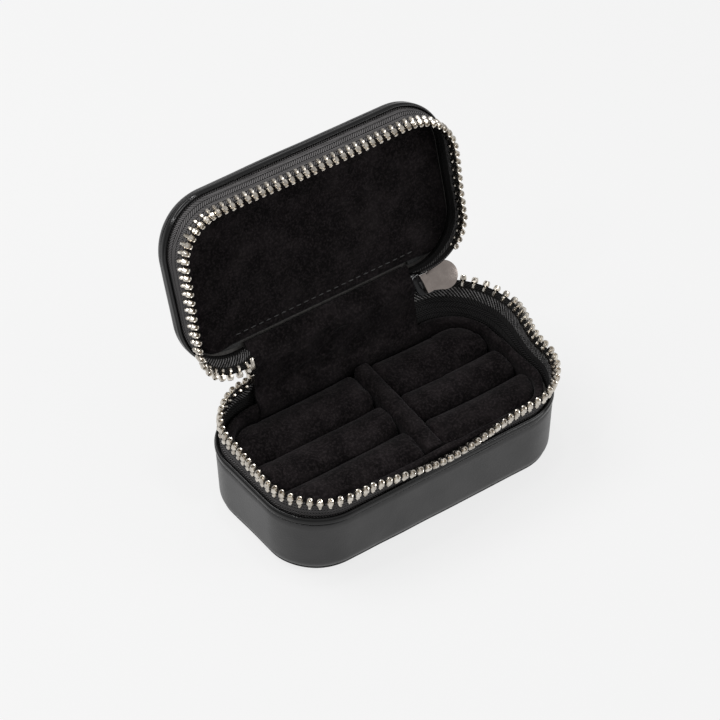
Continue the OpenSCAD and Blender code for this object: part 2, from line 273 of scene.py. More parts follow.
class Wire:
    """A shader socket that takes part in Python sums."""

    def __init__(self, graph: "Graph", socket: bpy.types.NodeSocket) -> None:
        """Keeps the graph and its socket."""
        self.graph = graph
        self.socket = socket

    def _math(self, operation: str, *values: "Wire | float") -> "Wire":
        """Adds one Math node."""
        node = self.graph.node("ShaderNodeMath", {"operation": operation}, dict(enumerate(values)))
        return Wire(self.graph, node.outputs[0])

    def __add__(self, other: "Wire | float") -> "Wire":
        """Sum."""
        return self._math("ADD", self, other)

    __radd__ = __add__

    def __mul__(self, other: "Wire | float") -> "Wire":
        """Product."""
        return self._math("MULTIPLY", self, other)

    __rmul__ = __mul__

    def __sub__(self, other: "Wire | float") -> "Wire":
        """Difference."""
        return self._math("SUBTRACT", self, other)

    def __rsub__(self, other: float) -> "Wire":
        """Reflected difference."""
        return self._math("SUBTRACT", other, self)

    def __truediv__(self, other: "Wire | float") -> "Wire":
        """Quotient."""
        return self._math("DIVIDE", self, other)

    def fraction(self) -> "Wire":
        """Part after the point."""
        return self._math("FRACT", self)

    def floor(self) -> "Wire":
        """Whole part."""
        return self._math("FLOOR", self)

    def modulo(self, other: float) -> "Wire":
        """Rest of a division, never negative."""
        return self._math("FLOORED_MODULO", self, other)

    def size(self) -> "Wire":
        """Absolute value."""
        return self._math("ABSOLUTE", self)

    def sine(self) -> "Wire":
        """Sine."""
        return self._math("SINE", self)

    def least(self, other: "Wire | float") -> "Wire":
        """Smaller of two."""
        return self._math("MINIMUM", self, other)


class Graph:
    """Builds one material around a Principled shader."""

    def __init__(self, name: str) -> None:
        """Makes the material and its two fixed nodes."""
        self.material = bpy.data.materials.new(name)
        self.material.use_nodes = True
        self.tree = self.material.node_tree
        self.tree.nodes.clear()
        self.shader = self.node("ShaderNodeBsdfPrincipled")
        self.output = self.node("ShaderNodeOutputMaterial")
        self.tree.links.new(self.shader.outputs[0], self.output.inputs[0])

    def node(self, kind: str, settings: dict | None = None,
             values: dict | None = None) -> bpy.types.Node:
        """Adds any node.

        Args:
            kind: Blender's name of the node type.
            settings: Attributes to set first; "stops" holds a ramp's places and colours.
            values: Socket name or number to a Wire or a plain value.

        Returns:
            The new node.
        """
        made = self.tree.nodes.new(kind)
        for key, value in (settings or {}).items():
            if key == "stops":
                self._stops(made.color_ramp, value)
            else:
                setattr(made, key, value)
        for key, value in (values or {}).items():
            if isinstance(value, Wire):
                self.tree.links.new(value.socket, made.inputs[key])
            else:
                made.inputs[key].default_value = value
        return made

    @staticmethod
    def _stops(ramp: bpy.types.ColorRamp, stops: Sequence[tuple[float, float]]) -> None:
        """Fills a grey ramp with its places and values."""
        while len(ramp.elements) < len(stops):
            ramp.elements.new(0.5)
        for element, (place, value) in zip(ramp.elements, stops):
            element.position = place
            element.color = (value, value, value, 1)

    def wire(self, node: bpy.types.Node, output: str | int = 0) -> Wire:
        """One output of a node as a Wire."""
        return Wire(self, node.outputs[output])

    def place(self) -> Wire:
        """Object coordinates."""
        return self.wire(self.node("ShaderNodeTexCoord"), "Object")

    def cloth_map(self) -> tuple[Wire, Wire]:
        """Runs along and across a strip, in millimetres."""
        uv = self.node("ShaderNodeUVMap", {"uv_map": CLOTH_MAP})
        split = self.node("ShaderNodeSeparateXYZ", None, {0: self.wire(uv)})
        return self.wire(split, 0), self.wire(split, 1)

    def cloud(self, size_mm: float, detail: float = 2.0, rough: float = 0.5,
              at: Wire | None = None) -> Wire:
        """Noise whose patches are about a given size."""
        values = {"Vector": at or self.place(), "Scale": 1000 / size_mm, "Detail": detail,
                  "Roughness": rough}
        return self.wire(self.node("ShaderNodeTexNoise", None, values), "Fac")

    def cells(self, size_mm: float) -> Wire:
        """Distance to the nearest of scattered points, 0 at a point."""
        values = {"Vector": self.place(), "Scale": 1000 / size_mm}
        return self.wire(self.node("ShaderNodeTexVoronoi", None, values), "Distance")

    def ramp(self, value: Wire, *stops: tuple[float, float]) -> Wire:
        """A value read through a ramp."""
        node = self.node("ShaderNodeValToRGB", {"stops": stops}, {0: value})
        return self.wire(node, 0)

    def mix(self, mask: Wire, low: "Wire | Sequence[float]",
            high: "Wire | Sequence[float]") -> Wire:
        """Two colours, plain or wired, mixed by a mask."""
        low, high = (c if isinstance(c, Wire) else (*c, 1) for c in (low, high))
        node = self.node("ShaderNodeMix", {"data_type": "RGBA"}, {0: mask, 6: low, 7: high})
        return self.wire(node, 2)

    def cover(self, shader: bpy.types.Node, share: Wire) -> None:
        """Lays another shader over the Principled one, by a share."""
        both = self.node("ShaderNodeMixShader", None,
                         {0: share, 1: self.wire(self.shader), 2: self.wire(shader)})
        self.tree.links.new(both.outputs[0], self.output.inputs[0])

    def feed(self, **values: "Wire | float | tuple") -> None:
        """Sets the shader's sockets, with _ for a space in their names."""
        for key, value in values.items():
            socket = self.shader.inputs[key.replace("_", " ")]
            if isinstance(value, Wire):
                self.tree.links.new(value.socket, socket)
            else:
                socket.default_value = value

    def relief(self, height: Wire, depth_mm: float, strength: float = 1.0) -> None:
        """Feeds a bump of a given depth to the shader's normal."""
        bump = self.node("ShaderNodeBump", None,
                         {"Height": height, "Distance": depth_mm * MM, "Strength": strength})
        self.feed(Normal=self.wire(bump))


# ------------------------------------------------------------------- finishes


@dataclass(frozen=True)
class LeatherFinish:
    """Smooth black leather with a fine pebble, a soft shine and a painted contact shadow that
    darkens its lower edge.
    """

    name: str = "black_leather"
    dark: Colour = (0.012, 0.012, 0.0125)
    light: Colour = (0.026, 0.0255, 0.026)
    roughness: tuple[float, float] = (0.30, 0.46)
    pebble_mm: float = 0.42
    relief_mm: float = 0.03
    gloss: float = 0.5
    # Near-black colour of the painted contact shadow along the bottom edge, and the heights in mm
    # below which it is full and above which it is gone.
    sole: Colour = (0.002, 0.002, 0.002)
    contact_shadow_mm: tuple[float, float] = (1.1, 2.5)

    def material(self) -> bpy.types.Material:
        """Builds the material."""
        g = Graph(self.name)
        height_cm = g.wire(g.node("ShaderNodeSeparateXYZ", None, {0: g.place()}), 2) * 100
        low, high = (s / 10 for s in self.contact_shadow_mm)
        tone = g.ramp(g.cloud(9, 3), (0.35, 0.0), (0.7, 1.0))
        skin = g.mix(tone, self.dark, self.light)
        # Painted contact shadow: the skin turns near-black towards the bottom edge.
        wear_and_shade = g.mix(g.ramp(height_cm, (low, 0.0), (high, 1.0)), self.sole, skin)
        pebble = g.cells(self.pebble_mm)
        low, high = self.roughness
        g.feed(Base_Color=wear_and_shade, Roughness=low + (high - low) * g.cloud(14, 2),
               Specular_IOR_Level=self.gloss)
        g.relief(g.ramp(pebble, (0.1, 1.0), (0.75, 0.0)) * 0.7 + g.cloud(0.9, 4) * 0.5,
                 self.relief_mm)
        return g.material


@dataclass(frozen=True)
class VelvetFinish:
    """Black short-pile velvet: lighter where the nap is brushed up."""

    name: str = "black_velvet"
    deep: Colour = (0.0022, 0.0016, 0.0018)
    brushed: Colour = (0.019, 0.0155, 0.0163)
    patch_mm: float = 7.0
    fibre_mm: float = 0.7
    sheen: float = 0.05

    def material(self) -> bpy.types.Material:
        """Builds the material."""
        g = Graph(self.name)
        patches = g.ramp(g.cloud(self.patch_mm, 5, 0.6), (0.42, 0.0), (0.68, 1.0))
        fibre = g.cloud(self.fibre_mm, 3, 0.75)
        mask = (patches * 0.5 + g.ramp(fibre, (0.47, 0.0), (0.66, 1.0)) * 0.75).least(1)
        g.feed(Base_Color=g.mix(mask, self.deep, self.brushed), Roughness=0.95,
               Specular_IOR_Level=0.08, Sheen_Weight=self.sheen, Sheen_Roughness=0.45,
               Sheen_Tint=(0.8, 0.78, 0.8, 1))
        g.relief(fibre + g.cloud(1.4, 3) * 0.8, 0.12, 0.7)
        return g.material


@dataclass(frozen=True)
class WebbingFinish:
    """Woven zip tape on its own cloth map: herringbone ribs outside, and inside the same
    weave darkened as painted shade, with a band of bright slanting stitches below the teeth."""

    name: str = "zip_webbing"
    gap: Colour = (0.004, 0.004, 0.004)
    rib: Colour = (0.115, 0.11, 0.111)
    stitch_tone: Colour = (0.20, 0.195, 0.195)
    # Share of the ribs' tone that the inner face keeps: painted shade on the inside of the tape.
    inner_shade_share: float = 0.12
    band_mm: tuple[float, float] = (1.8, 4.6)
    fade_mm: float = 0.3
    stitch_mm: float = 0.85
    row_mm: float = 1.5
    rib_mm: float = 0.75
    depth_mm: float = 0.16

    def material(self) -> bpy.types.Material:
        """Builds the material."""
        g = Graph(self.name)
        along, across = g.cloth_map()
        row = across / self.row_mm
        way = row.floor().modulo(2) * 2 - 1
        slant = along + way * (row.fraction() - 0.5) * self.row_mm
        rib = (slant * (math.pi / self.rib_mm)).sine().size()
        seam = g.ramp((row.fraction() - 0.5).size(), (0.36, 1.0), (0.5, 0.25))
        height = rib * seam
        thread = g.cloud(0.16, 2, 0.6)
        # The outer face gets the full tone and the inner face a small share of it: painted shade,
        # since both faces are the same weave.
        outside = g.ramp(across / (2 * OUTER_FACE), (0.3, 0.0), (0.4, 1.0))
        tone = g.ramp(height, (0.3, 0.0), (0.85, 1.0)) * (0.6 + 0.7 * g.cloud(5, 2))
        tone = (tone * (outside * (1 - self.inner_shade_share) + self.inner_shade_share)).least(1)
        low, high = (b / 10 for b in self.band_mm)
        fade = self.fade_mm / 10
        band = g.ramp(across / 10, (low, 0.0), (low + fade, 1.0), (high - fade, 1.0), (high, 0.0))
        bar = ((along + across * 0.8) * (math.pi / self.stitch_mm)).sine().size()
        stitch = g.ramp(bar * (0.7 + 0.5 * g.cloud(1.2, 2)), (0.72, 0.0), (0.95, 1.0)) * band
        ground = g.mix(tone, self.gap, self.rib)
        g.feed(Base_Color=g.mix(stitch, ground, self.stitch_tone), Roughness=0.75,
               Specular_IOR_Level=0.12)
        g.relief(height + thread * 0.25 + stitch * 0.8, self.depth_mm, 0.9)
        return g.material


@dataclass(frozen=True)
class MetalFinish:
    """Plated metal, polished by hand: faint scratches and a slightly uneven shine."""

    name: str
    colour: Colour
    # Darker tone of the metal where it is worn, mixed in at random.
    wear_and_shade: Colour
    roughness: tuple[float, float] = (0.16, 0.3)
    relief_mm: float = 0.004
    metallic: float = 1.0

    def material(self) -> bpy.types.Material:
        """Builds the material."""
        g = Graph(self.name)
        tone = g.ramp(g.cloud(1.6, 3, 0.6), (0.35, 0.0), (0.7, 1.0))
        stretch = g.node("ShaderNodeMapping", None,
                         {"Vector": g.place(), "Scale": (1.0, 0.12, 1.0),
                          "Rotation": (0.3, 0.5, 0.2)})
        scratch = g.cloud(0.12, 3, 0.7, g.wire(stretch))
        low, high = self.roughness
        g.feed(Base_Color=g.mix(tone, self.wear_and_shade, self.colour), Metallic=self.metallic,
               Roughness=low + (high - low) * (scratch * 0.6 + tone * 0.4))
        g.relief(scratch, self.relief_mm)
        return g.material


@dataclass(frozen=True)
class PlainFinish:
    """Board, foam or thread: a fibrous matt stuff."""

    name: str
    dark: Colour
    light: Colour
    grain_mm: float = 0.8
    roughness: float = 0.85

    def material(self) -> bpy.types.Material:
        """Builds the material."""
        g = Graph(self.name)
        fibre = g.cloud(self.grain_mm, 4, 0.65)
        g.feed(Base_Color=g.mix(g.ramp(fibre, (0.35, 0.0), (0.65, 1.0)), self.dark, self.light),
               Roughness=self.roughness)
        g.relief(fibre, 0.08)
        return g.material


class Wardrobe:
    """Every finish of the case, built once."""

    def __init__(self) -> None:
        """Builds the materials."""
        self.leather = LeatherFinish().material()
        self.edge = LeatherFinish(
            "edge_paint", dark=(0.002, 0.002, 0.0022), light=(0.005, 0.005, 0.0052),
            roughness=(0.10, 0.20), pebble_mm=0.7, relief_mm=0.008, gloss=0.30).material()
        self.velvet = VelvetFinish().material()
        self.webbing = WebbingFinish().material()
        self.nickel = MetalFinish(
            "nickel_teeth", colour=(0.78, 0.74, 0.67), wear_and_shade=(0.42, 0.38, 0.33),
            roughness=(0.14, 0.28)).material()
        # The puller is nickel like the teeth, but its colour is kept far darker to stand in for
        # the dark room that it reflects: a painted reflection.
        self.puller = MetalFinish(
            "nickel_puller", colour=(0.36, 0.315, 0.29), wear_and_shade=(0.31, 0.27, 0.25),
            roughness=(0.12, 0.22), relief_mm=0.0015).material()
        self.lacquer = MetalFinish(
            "black_lacquer", colour=(0.03, 0.03, 0.032), wear_and_shade=(0.02, 0.02, 0.021),
            roughness=(0.2, 0.34), metallic=0.35).material()
        self.board = PlainFinish(
            "grey_board", dark=(0.06, 0.058, 0.055), light=(0.11, 0.105, 0.1)).material()
        self.foam = PlainFinish(
            "black_foam", dark=(0.02, 0.02, 0.02), light=(0.05, 0.05, 0.05), grain_mm=0.4,
            roughness=0.95).material()
        self.thread = PlainFinish(
            "grey_thread", dark=(0.012, 0.012, 0.012), light=(0.05, 0.05, 0.05),
            grain_mm=0.15, roughness=0.7).material()


# --------------------------------------------------------------- mesh writing


@dataclass
class Shape:
    """Points in millimetres, faces and a cloth map for each face corner."""

    points: list[Vector] | np.ndarray
    faces: list[list[int]]
    maps: list[list[Corner]] | None = None

    def on(self, half: Half) -> "Shape":
        """The same shape, moved to where a half stands."""
        self.points = CASE.placed(half, self.points)
        return self


def build_object(name: str, shape: Shape, material: bpy.types.Material,
                 sharp_deg: float = 45.0, outward: bool = True) -> bpy.types.Object:
    """Makes an object of a shape.

    Args:
        name: Name of the piece.
        shape: Its points, faces and cloth map.
        material: Its finish.
        sharp_deg: Edges that turn more than this stay sharp.
        outward: Whether the faces are turned outwards first.

    Returns:
        The object, at the origin, in metres.
    """
    mesh = bpy.data.meshes.new(name)
    mesh.from_pydata([tuple(c * MM for c in p) for p in shape.points], [], shape.faces)
    if shape.maps is not None:
        layer = mesh.uv_layers.new(name=CLOTH_MAP)
        layer.data.foreach_set("uv", [c for face in shape.maps for corner in face for c in corner])
    mesh.validate()
    if outward:
        turned_out(mesh)
    return link_object(name, mesh, material, sharp_deg)


def turned_out(mesh: bpy.types.Mesh) -> None:
    """Turns every face of a closed mesh outwards."""
    work = bmesh.new()
    work.from_mesh(mesh)
    bmesh.ops.recalc_face_normals(work, faces=work.faces)
    work.to_mesh(mesh)
    work.free()


def link_object(name: str, mesh: bpy.types.Mesh, material: bpy.types.Material,
                sharp_deg: float = 45.0) -> bpy.types.Object:
    """Puts a mesh in the scene, smooth between its sharp edges."""
    mesh.shade_smooth()
    mesh.set_sharp_from_angle(angle=math.radians(sharp_deg))
    mesh.materials.clear()
    mesh.materials.append(material)
    obj = bpy.data.objects.new(name, mesh)
    bpy.context.scene.collection.objects.link(obj)
    return obj


def baked(obj: bpy.types.Object) -> bpy.types.Object:
    """Turns an object's modifiers into plain mesh and removes them."""
    graph = bpy.context.evaluated_depsgraph_get()
    graph.update()
    mesh = bpy.data.meshes.new_from_object(obj.evaluated_get(graph))
    obj.modifiers.clear()
    obj.data = mesh
    return obj


def swept(profile: Sequence[Corner], stops: Sequence[Stop], closed: bool) -> Shape:
    """A closed profile drawn round the case.

    Args:
        profile: Points outwards from the outline and up, in order.
        stops: Places on the path.
        closed: Whether the last stop joins the first.

    Returns:
        The solid.
    """
    m, n = len(profile), len(stops)
    points = [stop.at(CASE.corner + out, up) for stop in stops for out, up in profile]
    girth = [0.0]
    for (a, b), (c, d) in zip(profile, [*profile[1:], profile[0]]):
        girth.append(girth[-1] + math.hypot(c - a, d - b))
    step = stops[1].s - stops[0].s
    faces, maps = ring_faces(n, m, closed), []
    for stop in stops if closed else stops[:-1]:
        u, w = stop.s, stop.s + step
        maps += [[(u, low), (u, high), (w, high), (w, low)]
                 for low, high in zip(girth, girth[1:])]
    if not closed:
        faces += [ring_cap(0, m), ring_cap((n - 1) * m, m)]
        maps += [list(profile)] * 2
    return Shape(points, faces, maps)


def arc(x: float, y: float, radius: float, first: float, last: float,
        count: int) -> list[Corner]:
    """Points on an arc, angles in degrees, both ends included."""
    turns = [math.radians(first + (last - first) * i / count) for i in range(count + 1)]
    return [(x + radius * math.cos(t), y + radius * math.sin(t)) for t in turns]


def uneven(shape: Shape, size_mm: float, depth_mm: float, place: float,
           keep: Callable[[Vector], float] | None = None) -> None:
    """Moves a shape's points a little, as soft goods do.

    Args:
        shape: The shape to change.
        size_mm: Size of the bumps.
        depth_mm: Largest move.
        place: Place in the noise.
        keep: Share of the move at a point.
    """
    start = Vector((place, place * 0.7, -place))
    for i, p in enumerate(shape.points):
        push = noise.noise_vector(p / size_mm + start)
        shape.points[i] = p + push * depth_mm * (keep(p) if keep else 1.0)


def merged_copy(node: str, flat_deg: float | None = None) -> bpy.types.Mesh:
    """A copy of a CAD node's mesh, its loose triangles joined.

    Args:
        node: Name of the CAD node.
        flat_deg: Faces that turn less than this become one; None leaves them.

    Returns:
        The new mesh.
    """
    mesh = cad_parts[node].data.copy()
    work = bmesh.new()
    work.from_mesh(mesh)
    bmesh.ops.remove_doubles(work, verts=work.verts, dist=SAME_POINT * MM)
    if flat_deg is not None:
        bmesh.ops.dissolve_limit(work, angle_limit=math.radians(flat_deg), verts=work.verts,
                                 edges=work.edges)
        bmesh.ops.recalc_face_normals(work, faces=work.faces)
    work.to_mesh(mesh)
    work.free()
    return mesh


def paint_node(node: str, material: bpy.types.Material) -> None:
    """Gives a CAD node that stays its finish."""
    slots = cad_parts[node].data.materials
    slots.clear()
    slots.append(material)
    LOG.info("%s: %s", node, material.name)


def hand_over(obj: bpy.types.Object, body: str, slot: str, *nodes: str) -> bpy.types.Object:
    """Puts a finished piece on its body, in the place of CAD nodes.

    Args:
        obj: The finished piece.
        body: Name of the body that it moves with.
        slot: The record's material slot; not used.
        nodes: CAD nodes that it stands for.

    Returns:
        The same piece.
    """
    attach(obj, body)
    return stand_in(obj, slot, *nodes)


def stand_in(obj: bpy.types.Object, slot: str, *nodes: str) -> bpy.types.Object:
    """Puts a piece that already follows its bodies in the place of CAD nodes."""
    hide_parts(*nodes)
    LOG.info("%s: %d faces", obj.name, len(obj.data.polygons))
    return obj


# ----------------------------------------------------------------- soft goods


@dataclass
class Stuffing:
    """Swells a foam piece under its velvet by a short cloth simulation."""

    voxel_mm: float = 0.75
    shrink_mm: float = 0.45
    crown_mm: float = 0.8
    round_factor: float = 0.6
    round_passes: int = 7
    pressure: float = 4.0
    quality: int = 5
    enlarge: float = 20.0
    frames: int = 20

    def swell(self, obj: bpy.types.Object, floor_mm: float) -> bpy.types.Object:
        """Rounds and swells a piece in place.

        Args:
            obj: The piece, plain and closed.
            floor_mm: Height that its flat underside keeps.

        Returns:
            The same object with its final mesh.
        """
        size = obj.modifiers.new("Size", "DISPLACE")
        size.strength = -self.shrink_mm * MM
        size.mid_level = 0.0
        remesh = obj.modifiers.new("Skin", "REMESH")
        remesh.mode = "VOXEL"
        remesh.voxel_size = self.voxel_mm * MM
        smooth = obj.modifiers.new("Round", "SMOOTH")
        smooth.factor = self.round_factor
        smooth.iterations = self.round_passes
        baked(obj)
        rest = self._coords(obj)
        self._simulate(obj, rest)
        self._settle(obj, rest, floor_mm)
        level = obj.modifiers.new("Fine", "SUBSURF")
        level.levels = level.render_levels = 1
        baked(obj)
        obj.data.shade_smooth()
        return obj

    @staticmethod
    def _coords(obj: bpy.types.Object) -> np.ndarray:
        """An object's points as rows."""
        flat = np.zeros(len(obj.data.vertices) * 3)
        obj.data.vertices.foreach_get("co", flat)
        return flat.reshape(-1, 3)

    def _simulate(self, obj: bpy.types.Object, rest: np.ndarray) -> None:
        """Blows the skin up for a few frames, at a scale where cloth behaves."""
        centre = Vector(rest.mean(0))
        obj.data.transform(Matrix.Scale(self.enlarge, 4) @ Matrix.Translation(-centre))
        cloth = obj.modifiers.new("Cloth", "CLOTH")
        cloth.settings.quality = self.quality
        cloth.settings.use_pressure = True
        cloth.settings.uniform_pressure_force = self.pressure
        cloth.settings.effector_weights.gravity = 0
        cloth.collision_settings.use_collision = False
        cloth.point_cache.frame_start = 1
        cloth.point_cache.frame_end = self.frames
        for frame in range(1, self.frames + 1):
            bpy.context.scene.frame_set(frame)
        baked(obj)
        bpy.context.scene.frame_set(1)
        obj.data.transform(Matrix.Translation(centre) @ Matrix.Scale(1 / self.enlarge, 4))

    def _settle(self, obj: bpy.types.Object, rest: np.ndarray, floor_mm: float) -> None:
        """Keeps the swelling between its neighbours and its underside flat."""
        move = self._coords(obj) - rest
        side = np.hypot(move[:, 0], move[:, 1])
        limit = self.shrink_mm * MM
        move[:, :2] *= (np.minimum(side, limit) / np.maximum(side, 1e-12))[:, None]
        move[:, 2] = np.clip(move[:, 2], -limit, self.crown_mm * MM)
        found = rest + move
        found[:, 2] = np.maximum(found[:, 2], floor_mm * MM)
        obj.data.vertices.foreach_set("co", found.astype(np.float32).ravel())
        obj.data.update()


@dataclass
class RingTray:
    """Foam rolls for the rings, the loose divider and the padded walls."""

    wardrobe: Wardrobe
    floor: float = 3.8
    rolls: tuple[str, ...] = ("left_rear_roll", "left_middle_roll", "left_front_roll",
                              "right_rear_roll", "right_middle_roll", "right_front_roll")
    roll_fill: float = 0.55
    divider_fill: float = 0.5
    collar_fill: float = 0.6
    collar_thick: float = 2.5
    collar_top: float = 1.5
    outer_round: float = 1.0
    inner_round: float = 1.15
    dent_mm: float = 7.0
    dent_depth: float = 0.35
    dent_reach: float = 8.0
    stuffing: Stuffing = field(default_factory=Stuffing)

    def build(self) -> None:
        """Makes the velvet inside of the base."""
        for node in self.rolls:
            self._stuffed(node)
        self._stuffed("divider")
        self._collar()
        paint_node("base_floor_lining", self.wardrobe.velvet)

    def _stuffed(self, node: str) -> None:
        """One stuffed piece in the place of its plain solid."""
        obj = link_object("velvet_" + node, merged_copy(node), self.wardrobe.velvet, 180)
        self.stuffing.swell(obj, self.floor)
        hand_over(obj, "base", "velvet", node)

    def _collar(self) -> None:
        """Padding round the walls, with a soft rolled top."""
        low = self.floor - CASE.base_height - 1
        inner, outer = -CASE.lining_inset, -CASE.lining_inset + self.collar_thick
        top, near, far = self.collar_top, self.outer_round, self.inner_round
        profile = [(outer, low), (outer, top - near)]
        profile += arc(outer - near, top - near, near, 0, 90, 5)
        profile += arc(inner + far, top - far, far, 90, 180, 6)
        profile += [(inner, h) for h in np.linspace(top - 2.0, low, 9)]
        shape = swept(profile, CASE.loop(1.1), True)

        def free(p: Vector) -> float:
            """Moves the top most, and less further down."""
            return soft((p.z + self.dent_reach) / self.dent_reach)

        uneven(shape, self.dent_mm, self.dent_depth, 3.1, free)
        obj = build_object("velvet_collar", shape.on(Half.BASE), self.wardrobe.velvet,
                           CLOTH_EDGE)
        hand_over(obj, "base", "velvet", "base_wall_lining")


# --------------------------------------------------------------------- shells


@dataclass
class LeatherShell:
    """Leather skin of a half, its glossy rolled rim and its stiff board.

    Profiles are drawn outwards from the outline and up from the rim. The edge is the
    radius of the far corner, the crown is how far the lid's face swells, and the flare
    is how far the side stands out at its top and at its bottom.
    """

    wardrobe: Wardrobe
    half: Half
    height: float
    edge: float
    crown: float
    flare: tuple[float, float] = (0.0, 0.0)
    sole: float = 0.3
    side_rows: int = 10
    crown_rows: int = 15
    ripple_mm: float = 11.0
    ripple_depth: float = 0.14
    rim_round: float = 0.42
    bead_round: float = 0.34

    def build(self) -> None:
        """Makes the outside of the half."""
        self._skin()
        self._rim()
        if self.half is Half.BASE:
            paint_node("base_frame", self.wardrobe.board)
            paint_node("bottom_panel", self.wardrobe.leather)
        else:
            paint_node("lid_board", self.wardrobe.board)
            paint_node("lid_foam", self.wardrobe.foam)

    def _skin(self) -> None:
        """Leather band, with its turned edge and, on the lid, the whole face."""
        t, e, groove = CASE.leather, self.edge, -CASE.roll_height
        base = self.half is Half.BASE
        low = -self.height + (self.sole if base else 0.0)
        heights = np.linspace(groove - 0.35, low + e + 0.4, self.side_rows if base else 2)
        profile = [(-t, groove), (-0.55, groove), (-0.2, groove - 0.12)]
        profile += [(0.0, z) for z in heights]
        profile += arc(-e, low + e, e, 0, -90, 10)
        shape = self._base_skin(profile, low) if base else self._lid_skin(profile, low)
        uneven(shape, self.ripple_mm, self.ripple_depth, RIPPLE_PLACE[self.half])
        name = self.half.value
        obj = build_object(f"{name}_skin", shape.on(self.half), self.wardrobe.leather,
                           LEATHER_EDGE)
        hand_over(obj, name, "leather", f"{name}_leather")

    def _base_skin(self, profile: list[Corner], low: float) -> Shape:
        """Band round the base: the side profile, turned in at the bottom and flared."""
        t, e = CASE.leather, self.edge
        profile = profile + [(-e, low + t)]
        profile += arc(-e, low + e, e - t, -80, 0, 6)
        profile += [(-t, z) for z in np.linspace(low + e + 1, -CASE.roll_height - 1, 3)]
        top, bottom = self.flare
        flared = [(out + top + (bottom - top) * up / low if out > -t else out, up)
                  for out, up in profile]
        return swept(flared, CASE.loop(0.8), True)

    def _lid_skin(self, profile: list[Corner], low: float) -> Shape:
        """Skin over the lid: the side profile, then rings to the middle of the face."""
        stops = CASE.loop(0.9)
        n = len(stops)
        rows = [[s.at(CASE.corner + out, up) for s in stops] for out, up in profile]
        last = rows[-1]
        for k in range(1, self.crown_rows):
            f = 1 - k / self.crown_rows
            rise = self.crown * (1 - f * f)
            rows.append([Vector((p.x * f, p.y * f, low - rise)) for p in last])
        points = [p for row in rows for p in row] + [Vector((0, 0, low - self.crown))]
        faces, pole = ring_faces(len(rows), n), len(points) - 1
        faces += ring_fan((len(rows) - 1) * n, n, pole)
        start, inside = len(points), low + CASE.leather
        points += [Vector((p.x, p.y, inside)) for p in rows[0]] + [Vector((0, 0, inside))]
        for j in range(n):
            q = (j + 1) % n
            faces += [[j, q, start + q, start + j], [start + j, start + q, start + n]]
        return Shape(points, faces)

    def _rim(self) -> None:
        """Rolled glossy rim with a fine bead, open at the hinge strip."""
        h, t, r = CASE.roll_height, CASE.leather, self.rim_round
        profile = [(-t, -h), (-0.5, -h + 0.02), (-0.42, -h + 0.3)]
        profile += arc(-0.30, -h + 0.78, r, -80, 0, 4)
        profile += arc(-0.30, -0.62, r, 0, 55, 3)
        profile += [(-0.18, -0.12)]
        profile += arc(-0.46, 0.06, self.bead_round, -20, 200, 8)
        profile += [(-t, -0.15)]
        profile = [(out + self.flare[0] if out > -t else out, up) for out, up in profile]
        shape = swept(profile, CASE.zip_way(0.7), False)
        uneven(shape, 14.0, 0.06, 2.0)
        name = self.half.value
        obj = build_object(f"{name}_rim", shape.on(self.half), self.wardrobe.edge,
                           LEATHER_EDGE)
        hand_over(obj, name, "rim_leather", f"{name}_rim_roll", f"{name}_rim_bead")


# ------------------------------------------------------------------------ zip


@dataclass(frozen=True)
class ToothForm:
    """A stamped tooth: jaws that grip the tape, a shank and a round head with a cup."""

    jaw_drop: float = 0.2
    jaw_width: float = 1.25
    shank_width: float = 1.3
    neck_width: float = 0.95
    depth: float = 2.1
    head_width: float = 1.84
    length: float = 3.4
    corners: int = 8

    def rows(self) -> list[tuple[float, float, float]]:
        """Height, half width and half depth of each ring, from the jaws to the cup."""
        d, long = self.depth / 2, self.length
        shank, head = self.shank_width / 2, self.head_width / 2
        return [(-self.jaw_drop, self.jaw_width * 0.36, d * 0.6),
                (0.0, self.jaw_width / 2, d * 0.8),
                (0.4, shank, d),
                (long * 0.36, shank, d * 0.98),
                (long * 0.48, self.neck_width / 2, d * 0.62),
                (long * 0.60, head, d),
                (long * 0.84, head * 0.95, d * 0.92),
                (long, head * 0.68, d * 0.66),
                (long * 0.96, head * 0.42, d * 0.42),
                (long * 0.80, head * 0.26, d * 0.26)]

    def build(self, material: bpy.types.Material) -> bpy.types.Object:
        """Makes the tooth once, x through the tape, y along it, z out of it."""
        rows, points = self.rows(), []
        for z, wy, wx in rows:
            for k in range(self.corners):
                t = math.pi / 4 * k + math.pi / 8
                cx, cy = math.cos(t), math.sin(t)
                points.append(Vector((wx * math.copysign(min(abs(cx) * 1.12, 1), cx),
                                      wy * math.copysign(min(abs(cy) * 1.12, 1), cy), z)))
        faces = ring_faces(len(rows), self.corners)
        faces += [ring_cap(0, self.corners), ring_cap(len(points) - self.corners, self.corners)]
        return build_object("tooth_form", Shape(points, faces), material, METAL_EDGE)


